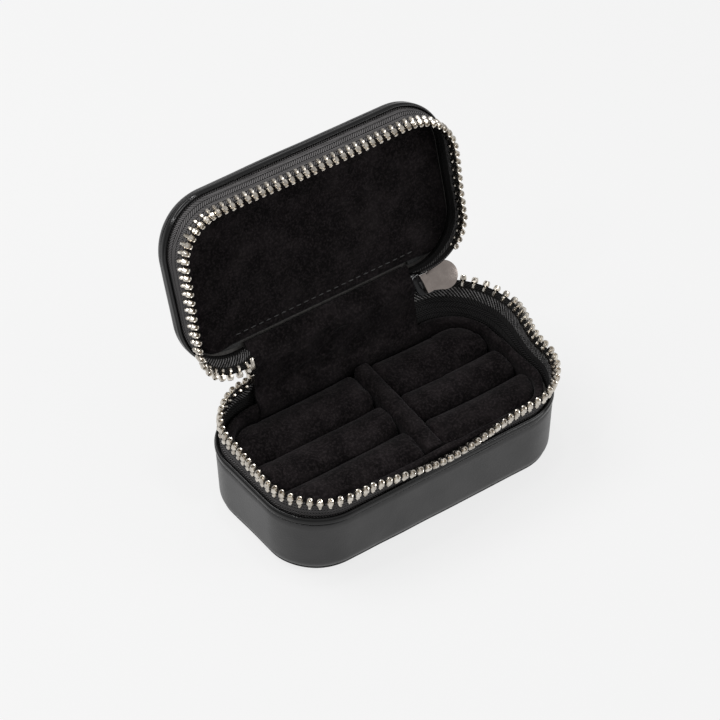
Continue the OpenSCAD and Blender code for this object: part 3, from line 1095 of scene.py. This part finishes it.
class RowTree:
    """A tree of Geometry Nodes that sets one form on points, each with its own turn."""

    inputs = {"Points": "Geometry", "Form": "Object", "Scale": "Float", "Wobble": "Float",
              "Seed": "Int", "Finish": "Material"}

    def __init__(self, name: str) -> None:
        """Builds the tree with its named inputs."""
        self.tree = bpy.data.node_groups.new(name, "GeometryNodeTree")
        self.sockets = {
            label: self.tree.interface.new_socket(label, in_out="INPUT",
                                                  socket_type="NodeSocket" + kind)
            for label, kind in self.inputs.items()}
        self.tree.interface.new_socket("Row", in_out="OUTPUT", socket_type="NodeSocketGeometry")
        given = self._node("NodeGroupInput")
        named = self._node("GeometryNodeInputNamedAttribute", data_type="FLOAT_VECTOR")
        named.inputs["Name"].default_value = "turn"
        chance = self._node("FunctionNodeRandomValue", data_type="FLOAT_VECTOR")
        low, high = (self._node("ShaderNodeVectorMath", operation="SCALE") for _ in range(2))
        low.inputs[0].default_value = (-1, -1, -1)
        high.inputs[0].default_value = (1, 1, 1)
        total = self._node("ShaderNodeVectorMath", operation="ADD")
        to_turn = self._node("FunctionNodeEulerToRotation")
        shape = self._node("GeometryNodeObjectInfo")
        copies = self._node("GeometryNodeInstanceOnPoints")
        real = self._node("GeometryNodeRealizeInstances")
        paint = self._node("GeometryNodeSetMaterial")
        result = self._node("NodeGroupOutput")
        for source, output, target, socket in (
                (given, "Wobble", low, "Scale"), (given, "Wobble", high, "Scale"),
                (low, 0, chance, 0), (high, 0, chance, 1), (given, "Seed", chance, "Seed"),
                (named, 0, total, 0), (chance, 0, total, 1), (total, 0, to_turn, 0),
                (given, "Points", copies, "Points"), (given, "Form", shape, "Object"),
                (shape, "Geometry", copies, "Instance"), (to_turn, 0, copies, "Rotation"),
                (given, "Scale", copies, "Scale"), (copies, 0, real, 0),
                (real, 0, paint, "Geometry"), (given, "Finish", paint, "Material"),
                (paint, 0, result, 0)):
            self.tree.links.new(source.outputs[output], target.inputs[socket])

    def _node(self, kind: str, **settings: str) -> bpy.types.Node:
        """Adds a node and sets its attributes."""
        made = self.tree.nodes.new(kind)
        for key, value in settings.items():
            setattr(made, key, value)
        return made

    def put_on(self, obj: bpy.types.Object, values: dict[str, object]) -> None:
        """Adds the tree to an object as a modifier, with a value for each input."""
        rows = obj.modifiers.new("Row", "NODES")
        rows.node_group = self.tree
        for label, value in values.items():
            rows[self.sockets[label].identifier] = value


def scattered(name: str, places: Sequence[Vector], turns: Sequence, form: bpy.types.Object,
              wobble: float, seed: int) -> bpy.types.Object:
    """Copies of one small form, set on points by a tree of Geometry Nodes.

    Args:
        name: Name of the piece.
        places: A point for each copy, in millimetres.
        turns: Its turn as Euler angles.
        form: The object to copy, which is removed at the end.
        wobble: Largest random turn in radians.
        seed: Seed of the random turn.

    Returns:
        The copies as one plain mesh.
    """
    mesh = bpy.data.meshes.new(name)
    mesh.from_pydata([tuple(c * MM for c in p) for p in places], [], [])
    turn = mesh.attributes.new("turn", "FLOAT_VECTOR", "POINT")
    turn.data.foreach_set("vector", [c for t in turns for c in t])
    obj = bpy.data.objects.new(name, mesh)
    bpy.context.scene.collection.objects.link(obj)
    RowTree(name + "_row").put_on(obj, {"Form": form, "Scale": 1.0, "Wobble": wobble,
                                        "Seed": seed, "Finish": form.data.materials[0]})
    baked(obj)
    obj.data.shade_smooth()
    obj.data.set_sharp_from_angle(angle=math.radians(METAL_EDGE))
    bpy.data.objects.remove(form)
    return obj


@dataclass
class ZipRow:
    """One half of the zip: its woven tape and its row of teeth.

    Lean is in degrees, inwards positive, and rise is the tape's height. Both are given
    at the front middle, the ends of the front corner, the ends of the rear corner and
    the tape's end, for the left side and for the right side.
    """

    wardrobe: Wardrobe
    half: Half
    lean_left: Sequence[float]
    lean_right: Sequence[float]
    rise_left: Sequence[float]
    rise_right: Sequence[float]
    last_tooth: float
    thickness: float = 0.5
    edge_extra: float = 0.18
    tip_length: float = 0.25
    jaw_reach: float = 1.6
    bow: float = 0.22
    bow_mm: float = 9.0
    bow_rows: int = 9
    lift: float = 0.4
    lift_deg: float = 80.0
    first_gap: float = 1.2
    wobble: float = 0.03
    tooth: ToothForm = ToothForm()

    def build(self) -> None:
        """Makes the tape and the teeth and puts them on the half."""
        name = self.half.value
        for piece, slot, node in ((self._tape(), "zip_tape", f"{name}_zip_tape"),
                                  (self._teeth(), "zip_metal", f"{name}_zip_teeth")):
            if self.half is Half.BASE:
                hand_over(piece, name, slot, node)
            else:
                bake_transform(piece)
                stand_in(piece, slot, node)

    @property
    def end(self) -> float:
        """Run from the front middle to the end of the tape."""
        return CASE.zip_end(CASE.tape_radius)

    def _pose_at(self, s: float) -> tuple[float, float]:
        """The tape's lean and rise at a place on the path."""
        marks = [0.0, *CASE.marks(CASE.tape_radius)[:4], self.end]
        side = (self.lean_left, self.rise_left) if s < 0 else (self.lean_right, self.rise_right)
        rows = list(zip(marks, *side))
        for (a, lean_a, rise_a), (b, lean_b, rise_b) in zip(rows, rows[1:]):
            if abs(s) <= b:
                share = soft((abs(s) - a) / (b - a))
                return lean_a + (lean_b - lean_a) * share, rise_a + (rise_b - rise_a) * share
        return rows[-1][1:]

    def frame_at(self, s: float) -> tuple[Vector, Vector, Vector, Vector, float]:
        """Foot, bend, way up the tape, its outward face and its height, rim at z = 0.

        Args:
            s: Run along the path.

        Returns:
            Foot, bend, way, face and rise.
        """
        x, y, a = CASE.station(s, CASE.tape_radius)
        out = Vector((math.cos(a), math.sin(a), 0))
        spot = Vector((x, y, 0)) + out * CASE.tape_radius
        lean_deg, rise = self._pose_at(s)
        lean, up = math.radians(lean_deg), Vector((0, 0, 1))
        knee = CASE.knee + self.lift * soft(-lean_deg / self.lift_deg)
        way = up * math.cos(lean) - out * math.sin(lean)
        face = out * math.cos(lean) + up * math.sin(lean)
        return spot - up * CASE.board_drop, spot + up * knee, way, face, rise

    def middle_line(self, s: float) -> list[Vector]:
        """The tape's middle face from its foot to its tip, slightly bowed."""
        foot, bend, way, face, rise = self.frame_at(s)
        tip = bend + way * (rise + self.jaw_reach)
        wave = self.bow * noise.noise(Vector((s / self.bow_mm, 3.7, BOW_PLACE[self.half])))
        line = [foot, foot.lerp(bend, 0.6)]
        start = foot.lerp(bend, 0.75)
        for i in range(self.bow_rows):
            t = i / (self.bow_rows - 1)
            point = start.lerp(bend, t).lerp(bend.lerp(tip, t), t)
            line.append(point + face * wave * math.sin(math.pi * t))
        return line

    def _section(self, s: float) -> tuple[list[Vector], list[Corner]]:
        """The tape's outline at a place on the path, and its height on the cloth map.

        Args:
            s: Run along the path.

        Returns:
            The outline's points, up the inner face and down the outer one, and for
            each side of the outline the map's heights at its two ends.
        """
        line = self.middle_line(s)
        face = self.frame_at(s)[3]
        turn = CASE.station(s, CASE.tape_radius)[2]
        out = Vector((math.cos(turn), math.sin(turn), 0))
        outer, inner, girth = [], [], [0.0]
        for i, p in enumerate(line):
            way = out.lerp(face, soft(i / (len(line) - 1) * 2)).normalized()
            thick = self.thickness / 2 + (self.edge_extra if i >= len(line) - 2 else 0.0)
            outer.append(p + way * thick)
            inner.append(p - way * thick)
            if i:
                girth.append(girth[-1] + (p - line[i - 1]).length)
        tip = line[-1] + (line[-1] - line[-2]).normalized() * self.tip_length
        down = [girth[-1] - g for g in girth] + [-0.3]
        back = [OUTER_FACE + d for d in down[::-1]]
        heights = [*zip(down, down[1:]), *zip(back, back[1:]), (back[-1], back[-1])]
        return inner + [tip] + outer[::-1], heights

    def _tape(self) -> bpy.types.Object:
        """The woven strip with its thicker edge."""
        stops = [s.s for s in CASE.stations(-self.end, self.end, 0.8, CASE.tape_radius)]
        sections = [self._section(s) for s in stops]
        points = [p for outline, _ in sections for p in outline]
        girths = [heights for _, heights in sections]
        size, count = len(girths[0]), len(stops)
        faces, maps = ring_faces(count, size), []
        for u, w, near, far in zip(stops, stops[1:], girths, girths[1:]):
            maps += [[(u, a[0]), (u, a[1]), (w, b[1]), (w, b[0])] for a, b in zip(near, far)]
        faces += [ring_cap(0, size), ring_cap((count - 1) * size, size)]
        maps += [[(0.0, OUTER_FACE)] * size] * 2
        shape = Shape(points, faces, maps).on(self.half)
        return build_object(f"{self.half.value}_tape", shape, self.wardrobe.webbing, CLOTH_EDGE)

    def _teeth(self) -> bpy.types.Object:
        """The row of teeth, one tree of nodes over a point for each tooth."""
        first = math.ceil((-self.end + self.first_gap) / CASE.pitch + 0.4)
        last = math.floor(self.last_tooth / CASE.pitch - 0.4)
        places, turns = [], []
        for i in range(first, last + 1):
            _, bend, way, face, rise = self.frame_at(i * CASE.pitch)
            spot = bend + way * rise
            trio = CASE.placed(self.half, [spot, spot + face, spot + way])
            p, f, w = (Vector(v) for v in trio)
            x_axis, z_axis = (f - p).normalized(), (w - p).normalized()
            axes = Matrix((x_axis, z_axis.cross(x_axis), z_axis))
            places.append(p)
            turns.append(axes.transposed().to_euler("XYZ"))
        form = self.tooth.build(self.wardrobe.nickel)
        return scattered(f"{self.half.value}_teeth", places, turns, form, self.wobble,
                         TOOTH_SEED[self.half])


# ---------------------------------------------------------------------- hinge


@dataclass
class HingeStrip:
    """The soft back of the case: leather outside and velvet inside, base to lid.

    The two lines are the layers' inner faces, as Y and Z from the base to the lid.
    """

    wardrobe: Wardrobe
    half_width: float = 27.3
    across: int = 108
    spans: int = 6
    velvet_line: Sequence[Corner] = (
        (20.2, 17.6), (20.25, 20.2), (20.9, 22.0), (22.2, 23.6), (23.1, 26.0), (23.3, 29.0),
        (23.3, 32.0), (23.5, 34.6), (24.4, 36.6), (25.6, 38.0), (26.4, 39.3), (26.95, 40.6))
    velvet_thick: float = 0.9
    velvet_wave: float = 0.45
    leather_line: Sequence[Corner] = (
        (24.7, 17.8), (24.7, 20.5), (24.6, 24.0), (24.55, 28.0), (24.6, 32.0), (24.7, 34.6),
        (25.0, 35.9), (25.7, 36.6), (26.6, 36.95), (27.4, 37.0))
    leather_thick: float = 0.8
    leather_wave: float = 0.22
    crease: float = 1.3
    crease_edge: float = 5.0

    def build(self) -> None:
        """Makes both layers and bends them across the hinge."""
        velvet = self._strip("velvet_strip", self.velvet_line, self.velvet_thick,
                             self.wardrobe.velvet, self.velvet_wave)
        leather = self._strip("leather_strip", self.leather_line, self.leather_thick,
                              self.wardrobe.leather, self.leather_wave)
        for layer in (velvet, leather):
            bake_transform(layer)
        stand_in(velvet, "velvet", "hinge_lining", "lid_hinge_lining")
        stand_in(leather, "leather", "hinge_leather")

    def _fold(self, x: float, z: float, seed: float) -> float:
        """How far the cloth stands out at a place: soft folds and a few slanting creases."""
        fold = noise.noise(Vector((x / 16, z / 5.0, seed)))
        fold += 0.5 * noise.noise(Vector((x / 6, z / 3.0, 9.0)))
        slant = noise.noise(Vector(((x + z) / 12, (z - x / 2) / 4.5, 2.5)))
        return fold + self.crease * (1 - min(1.0, self.crease_edge * abs(slant)))

    def _strip(self, name: str, line: Sequence[Corner], thick: float,
               material: bpy.types.Material, wave: float) -> bpy.types.Object:
        """A strip along X whose cross-section follows a line in Y and Z.

        Args:
            name: Name of the piece.
            line: Points in Y and Z, from the base to the lid.
            thick: Thickness, backwards from the line.
            material: Its finish.
            wave: Depth of its soft folds.

        Returns:
            The strip.
        """
        fine = smooth_line(line, self.spans)
        points, count = [], len(fine)
        for i in range(self.across + 1):
            x = -self.half_width + 2 * self.half_width * i / self.across
            side, back = [], []
            for k, (y, z) in enumerate(fine):
                a, b = fine[max(k - 1, 0)], fine[min(k + 1, count - 1)]
                way = Vector((0, b[0] - a[0], b[1] - a[1])).normalized()
                face = Vector((0, -way.z, way.y))
                free = math.sin(math.pi * k / (count - 1)) ** 0.7
                push = face * self._fold(x, z, 4.0 + thick) * wave * free
                side.append(Vector((x, y, z)) + push)
                back.append(Vector((x, y, z)) + push - face * thick)
            points += side + back[::-1]
        size = 2 * count
        faces = ring_faces(self.across + 1, size)
        faces += [ring_cap(0, size), ring_cap(self.across * size, size)]
        return build_object(name, Shape(points, faces), material, CLOTH_EDGE)


def smooth_line(line: Sequence[Corner], parts: int) -> list[Corner]:
    """A smooth curve through points, each span cut into parts."""
    points = [Vector(p) for p in line]
    fine: list[Corner] = []
    for i in range(len(points) - 1):
        p0, p1 = points[max(i - 1, 0)], points[i]
        p2, p3 = points[i + 1], points[min(i + 2, len(points) - 1)]
        for k in range(parts):
            t = k / parts
            spot = (p1 * 2 + (p2 - p0) * t + (p0 * 2 - p1 * 5 + p2 * 4 - p3) * t * t
                    + (p1 * 3 - p0 - p2 * 3 + p3) * t ** 3) / 2
            fine.append((spot.x, spot.y))
    fine.append(tuple(points[-1]))
    return fine


# ----------------------------------------------------------------- lid inside


@dataclass
class LidPad:
    """Velvet pad of the lid with its seam along the hinge."""

    wardrobe: Wardrobe
    fill: float = 0.4
    inset: float = 2.0
    fold: float = 3.9
    fold_past: float = 4.0
    fold_ease: float = 10.0
    drop: float = 0.65
    swell: float = 0.55
    swell_reach: float = 9.0
    edge_roll: float = 1.5
    edge_reach: float = 1.4
    wave: float = 0.16
    insets: Sequence[float] = (0.0, 0.12, 0.35, 0.7, 1.1, 1.6, 2.4, 3.5, 5.0, 7.0, 9.0, 11.0,
                               13.0)
    middle: Corner = (0.0, -1.0)
    middle_rows: int = 12
    seam_in: float = 7.0
    seam_depth: float = 0.28
    stitches: int = 24
    stitch_pitch: float = 2.5
    stitch_half: float = 0.8
    stitch_wobble: float = 0.05
    stitch_seed: int = 5

    def build(self) -> None:
        """Makes the pad and the stitches."""
        self._pad()
        self._seam()

    @property
    def seam_y(self) -> float:
        """Where the seam runs across the lid."""
        return CASE.width / 2 - self.seam_in

    def _height(self, edge: float, x: float, y: float) -> float:
        """Height of the velvet at a distance from the pad's edge."""
        swell = self.swell * (1 - (1 - min(edge / self.swell_reach, 1.0)) ** 2)
        roll = -self.edge_roll * (1 - min(edge / self.edge_reach, 1.0)) ** 2
        crease = -self.seam_depth * math.exp(-((y - self.seam_y) / 0.8) ** 2)
        wave = self.wave * noise.noise(Vector((x / 12, y / 9, 2.2)))
        return swell + roll + crease + wave - self.drop

    def _outline(self, stops: Sequence[Stop], inset: float) -> list[Vector]:
        """One ring of the pad, a distance in from its edge and straight at the fold."""
        edge_y = CASE.width / 2 - self.fold - inset
        row = []
        for stop in stops:
            p = stop.at(CASE.corner - self.inset - inset)
            past = abs(p.x) - CASE.strip_half
            if p.y > edge_y:
                share = soft((past - 3) / self.fold_ease) if past >= self.fold_past else 0.0
                p.y = edge_y + (p.y - edge_y) * share
            p.z = self._height(inset, p.x, p.y)
            row.append(p)
        return row

    def _pad(self) -> None:
        """The crowned pad, cut straight along the hinge fold."""
        stops = CASE.loop(1.0)
        rows = [self._outline(stops, d) for d in self.insets]
        middle, last = Vector((*self.middle, 0)), rows[-1]
        for k in range(1, self.middle_rows):
            ring = [middle + (Vector((p.x, p.y, 0)) - middle) * (1 - k / self.middle_rows)
                    for p in last]
            rows.append([Vector((q.x, q.y, self._height(20, q.x, q.y))) for q in ring])
        n = len(stops)
        points = [p for row in rows for p in row]
        points.append(Vector((*self.middle, self._height(20, *self.middle))))
        faces = ring_faces(len(rows), n)
        faces += ring_fan((len(rows) - 1) * n, n, len(points) - 1)
        start = len(points)
        points += [Vector((p.x, p.y, -CASE.board_drop)) for p in rows[0]]
        faces += [[j, (j + 1) % n, start + (j + 1) % n, start + j] for j in range(n)]
        faces.append(ring_cap(start, n))
        obj = build_object("velvet_pad", Shape(points, faces).on(Half.LID),
                           self.wardrobe.velvet, CLOTH_EDGE)
        hand_over(obj, "lid", "velvet", "lid_pad")

    def _seam(self) -> None:
        """A row of stitches, one tree of nodes over a point for each."""
        y, places = self.seam_y, []
        for i in range(self.stitches):
            x = (i - (self.stitches - 1) / 2) * self.stitch_pitch
            places.append(Vector((x, y, self._height(self.seam_in - self.fold, x, y) + 0.1)))
        placed = [Vector(p) for p in CASE.placed(Half.LID, places)]
        turn = Vector((math.radians(-CASE.open_deg), 0, 0))
        obj = scattered("lid_seam", placed, [turn] * len(placed), self._stitch(),
                        self.stitch_wobble, self.stitch_seed)
        hand_over(obj, "lid", "thread", "lid_stitches")

    def _stitch(self) -> bpy.types.Object:
        """One stitch: a short thread, thin at both ends."""
        points, corners, rows = [], 6, 7
        for i in range(rows):
            t = i / (rows - 1)
            x, r = self.stitch_half * (2 * t - 1), 0.05 + 0.13 * math.sin(math.pi * t) ** 0.5
            for k in range(corners):
                a = 2 * math.pi * k / corners
                points.append(Vector((x, r * math.cos(a), r * math.sin(a))))
        faces = ring_faces(rows, corners)
        faces += [ring_cap(0, corners), ring_cap(len(points) - corners, corners)]
        return build_object("stitch_form", Shape(points, faces), self.wardrobe.thread,
                            CLOTH_EDGE)


# ---------------------------------------------------------------------- metal


@dataclass
class ZipMetal:
    """Slider, puller and the two end clips."""

    wardrobe: Wardrobe
    flat_deg: float = 1.5
    edge_deg: float = 35.0
    sharp_deg: float = 50.0

    def build(self) -> None:
        """Makes each metal piece from its solid, with softened edges."""
        w = self.wardrobe
        self._piece("slider_body", "slider_shell", "slider", "slider_metal", w.lacquer, 0.14)
        self._piece("puller", "puller_plate", "puller", "puller_metal", w.puller, 0.16, 3)
        self._piece("zip_end_stop", "base_clip", "base", "zip_metal", w.nickel, 0.2)
        self._piece("lid_end_stop", "lid_clip", "lid", "zip_metal", w.nickel, 0.2)

    def _piece(self, node: str, name: str, body: str, slot: str,
               material: bpy.types.Material, bevel_mm: float, segments: int = 2) -> None:
        """One piece in the shape of its CAD node, with its edges softened.

        Args:
            node: Name of the CAD node.
            name: Name of the new piece.
            body: Body that it moves with.
            slot: The record's material slot; not used.
            material: Its finish.
            bevel_mm: Width of the softened edges.
            segments: Faces across a softened edge.
        """
        obj = link_object(name, merged_copy(node, self.flat_deg), material)
        bevel = obj.modifiers.new("Edges", "BEVEL")
        bevel.width = bevel_mm * MM
        bevel.segments = segments
        bevel.limit_method = "ANGLE"
        bevel.angle_limit = math.radians(self.edge_deg)
        bevel.harden_normals = False
        baked(obj)
        obj.data.shade_smooth()
        obj.data.set_sharp_from_angle(angle=math.radians(self.sharp_deg))
        hand_over(obj, body, slot, node)


# --------------------------------------------------------------------- studio


@dataclass(frozen=True)
class Lamp:
    """A square soft lamp: its place and side in millimetres, and its power in watts."""

    name: str
    spot: tuple[float, float, float]
    side: float
    power: float

    def light(self, aim: Vector) -> None:
        """Hangs the lamp, turned towards a point."""
        data = bpy.data.lights.new(self.name, "AREA")
        data.shape = "SQUARE"
        data.size = self.side * MM
        data.energy = self.power
        hang(bpy.data.objects.new(self.name, data), Vector(self.spot), aim)


def hang(obj: bpy.types.Object, spot: Vector, aim: Vector) -> None:
    """Puts a lamp or camera in the scene, turned from its place to a point, both in mm."""
    obj.location = spot * MM
    obj.rotation_euler = (aim - spot).normalized().to_track_quat("-Z", "Y").to_euler()
    bpy.context.scene.collection.objects.link(obj)


@dataclass
class Studio:
    """Pale floor, soft lamps and the camera."""

    eye: Vector = field(default_factory=lambda: Vector((-404.4, -539.9, 642.4)))
    aim: Vector = field(default_factory=lambda: Vector((6.47, 20.65, 21.1)))
    lens: float = 168.4
    sensor: float = 36.0
    clip_m: tuple[float, float] = (0.01, 20)
    floor_tone: Colour = (0.50, 0.50, 0.50)
    floor_reach: float = 4000.0
    floor_drop: float = 0.05
    paper_tone: Colour = (0.975, 0.975, 0.975)
    paper_share: float = 0.80
    sky_strength: float = 0.55
    lamps: tuple[Lamp, ...] = (Lamp("key", (-260, 300, 620), 420, 3.6),
                               Lamp("fill", (420, -420, 300), 300, 1.0),
                               Lamp("glint", (-420, -60, 560), 60, 0.4),
                               Lamp("top", (30, 60, 760), 70, 0.7))

    def build(self) -> None:
        """Sets the stage."""
        self._floor()
        self._world()
        for lamp in self.lamps:
            lamp.light(self.aim)
        self._camera()
        bpy.context.scene.view_settings.view_transform = "Standard"

    def _floor(self) -> None:
        """A wide plain floor that looks like lit paper and keeps the case's shadow."""
        g = Graph("studio_floor")
        speck = g.cloud(40, 2)
        tone = self.floor_tone
        g.feed(Base_Color=g.mix(speck, tone, tuple(c + 0.004 for c in tone)), Roughness=0.9,
               Specular_IOR_Level=0.1)
        ray = g.node("ShaderNodeLightPath")
        seen = g.wire(ray, "Is Camera Ray") + g.wire(ray, "Is Glossy Ray")
        glow = g.node("ShaderNodeEmission", None, {"Color": (*self.paper_tone, 1)})
        g.cover(glow, seen.least(1) * self.paper_share)
        r, z = self.floor_reach, -self.floor_drop
        corners = [Vector((x, y, z)) for x, y in ((-r, -r), (r, -r), (r, r), (-r, r))]
        build_object("studio_floor", Shape(corners, [[0, 1, 2, 3]]), g.material,
                              outward=False)

    def _world(self) -> None:
        """An even pale surround."""
        world = bpy.data.worlds.new("Studio")
        world.use_nodes = True
        back = world.node_tree.nodes["Background"]
        back.inputs["Color"].default_value = (1, 1, 1, 1)
        back.inputs["Strength"].default_value = self.sky_strength
        bpy.context.scene.world = world

    def _camera(self) -> None:
        """The camera, aimed so that the case sits right of the middle."""
        data = bpy.data.cameras.new("Camera")
        data.lens = self.lens
        data.sensor_width = self.sensor
        data.clip_start, data.clip_end = self.clip_m
        camera = bpy.data.objects.new("Camera", data)
        hang(camera, self.eye, self.aim)
        bpy.context.scene.camera = camera


# ----------------------------------------------------------------------- main


def main() -> None:
    """Builds every part of the case in order."""
    logging.basicConfig(level=logging.INFO, format="%(message)s")
    noise.seed_set(NOISE_SEED)
    wardrobe = Wardrobe()
    RingTray(wardrobe).build()
    LeatherShell(wardrobe, Half.BASE, height=CASE.base_height, edge=3.0, crown=0.0,
                 flare=(0.3, -0.6)).build()
    LeatherShell(wardrobe, Half.LID, height=CASE.lid_height, edge=2.3, crown=0.35).build()
    ZipRow(wardrobe, Half.BASE,
           lean_left=(-46, -20, -10, 0, 4, 0), lean_right=(-46, -20, -17, -42, -43, -43),
           rise_left=(4.1, 4.1, 4.1, 4.3, 7, 8.2), rise_right=(4.1, 4.1, 4.9, 7.2, 8.2, 8.2),
           last_tooth=85.14).build()
    ZipRow(wardrobe, Half.LID,
           lean_left=(29, 25, 8, 0, -66, -84), lean_right=(29, 24, 4, 11, 22, 22),
           rise_left=(4.4, 4.4, 4.1, 3.8, 2, 1), rise_right=(4.4, 4.4, 4.1, 4.1, 4.1, 4.1),
           last_tooth=85.2).build()
    HingeStrip(wardrobe).build()
    LidPad(wardrobe).build()
    ZipMetal(wardrobe).build()
    Studio().build()


if __name__ == "__main__":
    main()
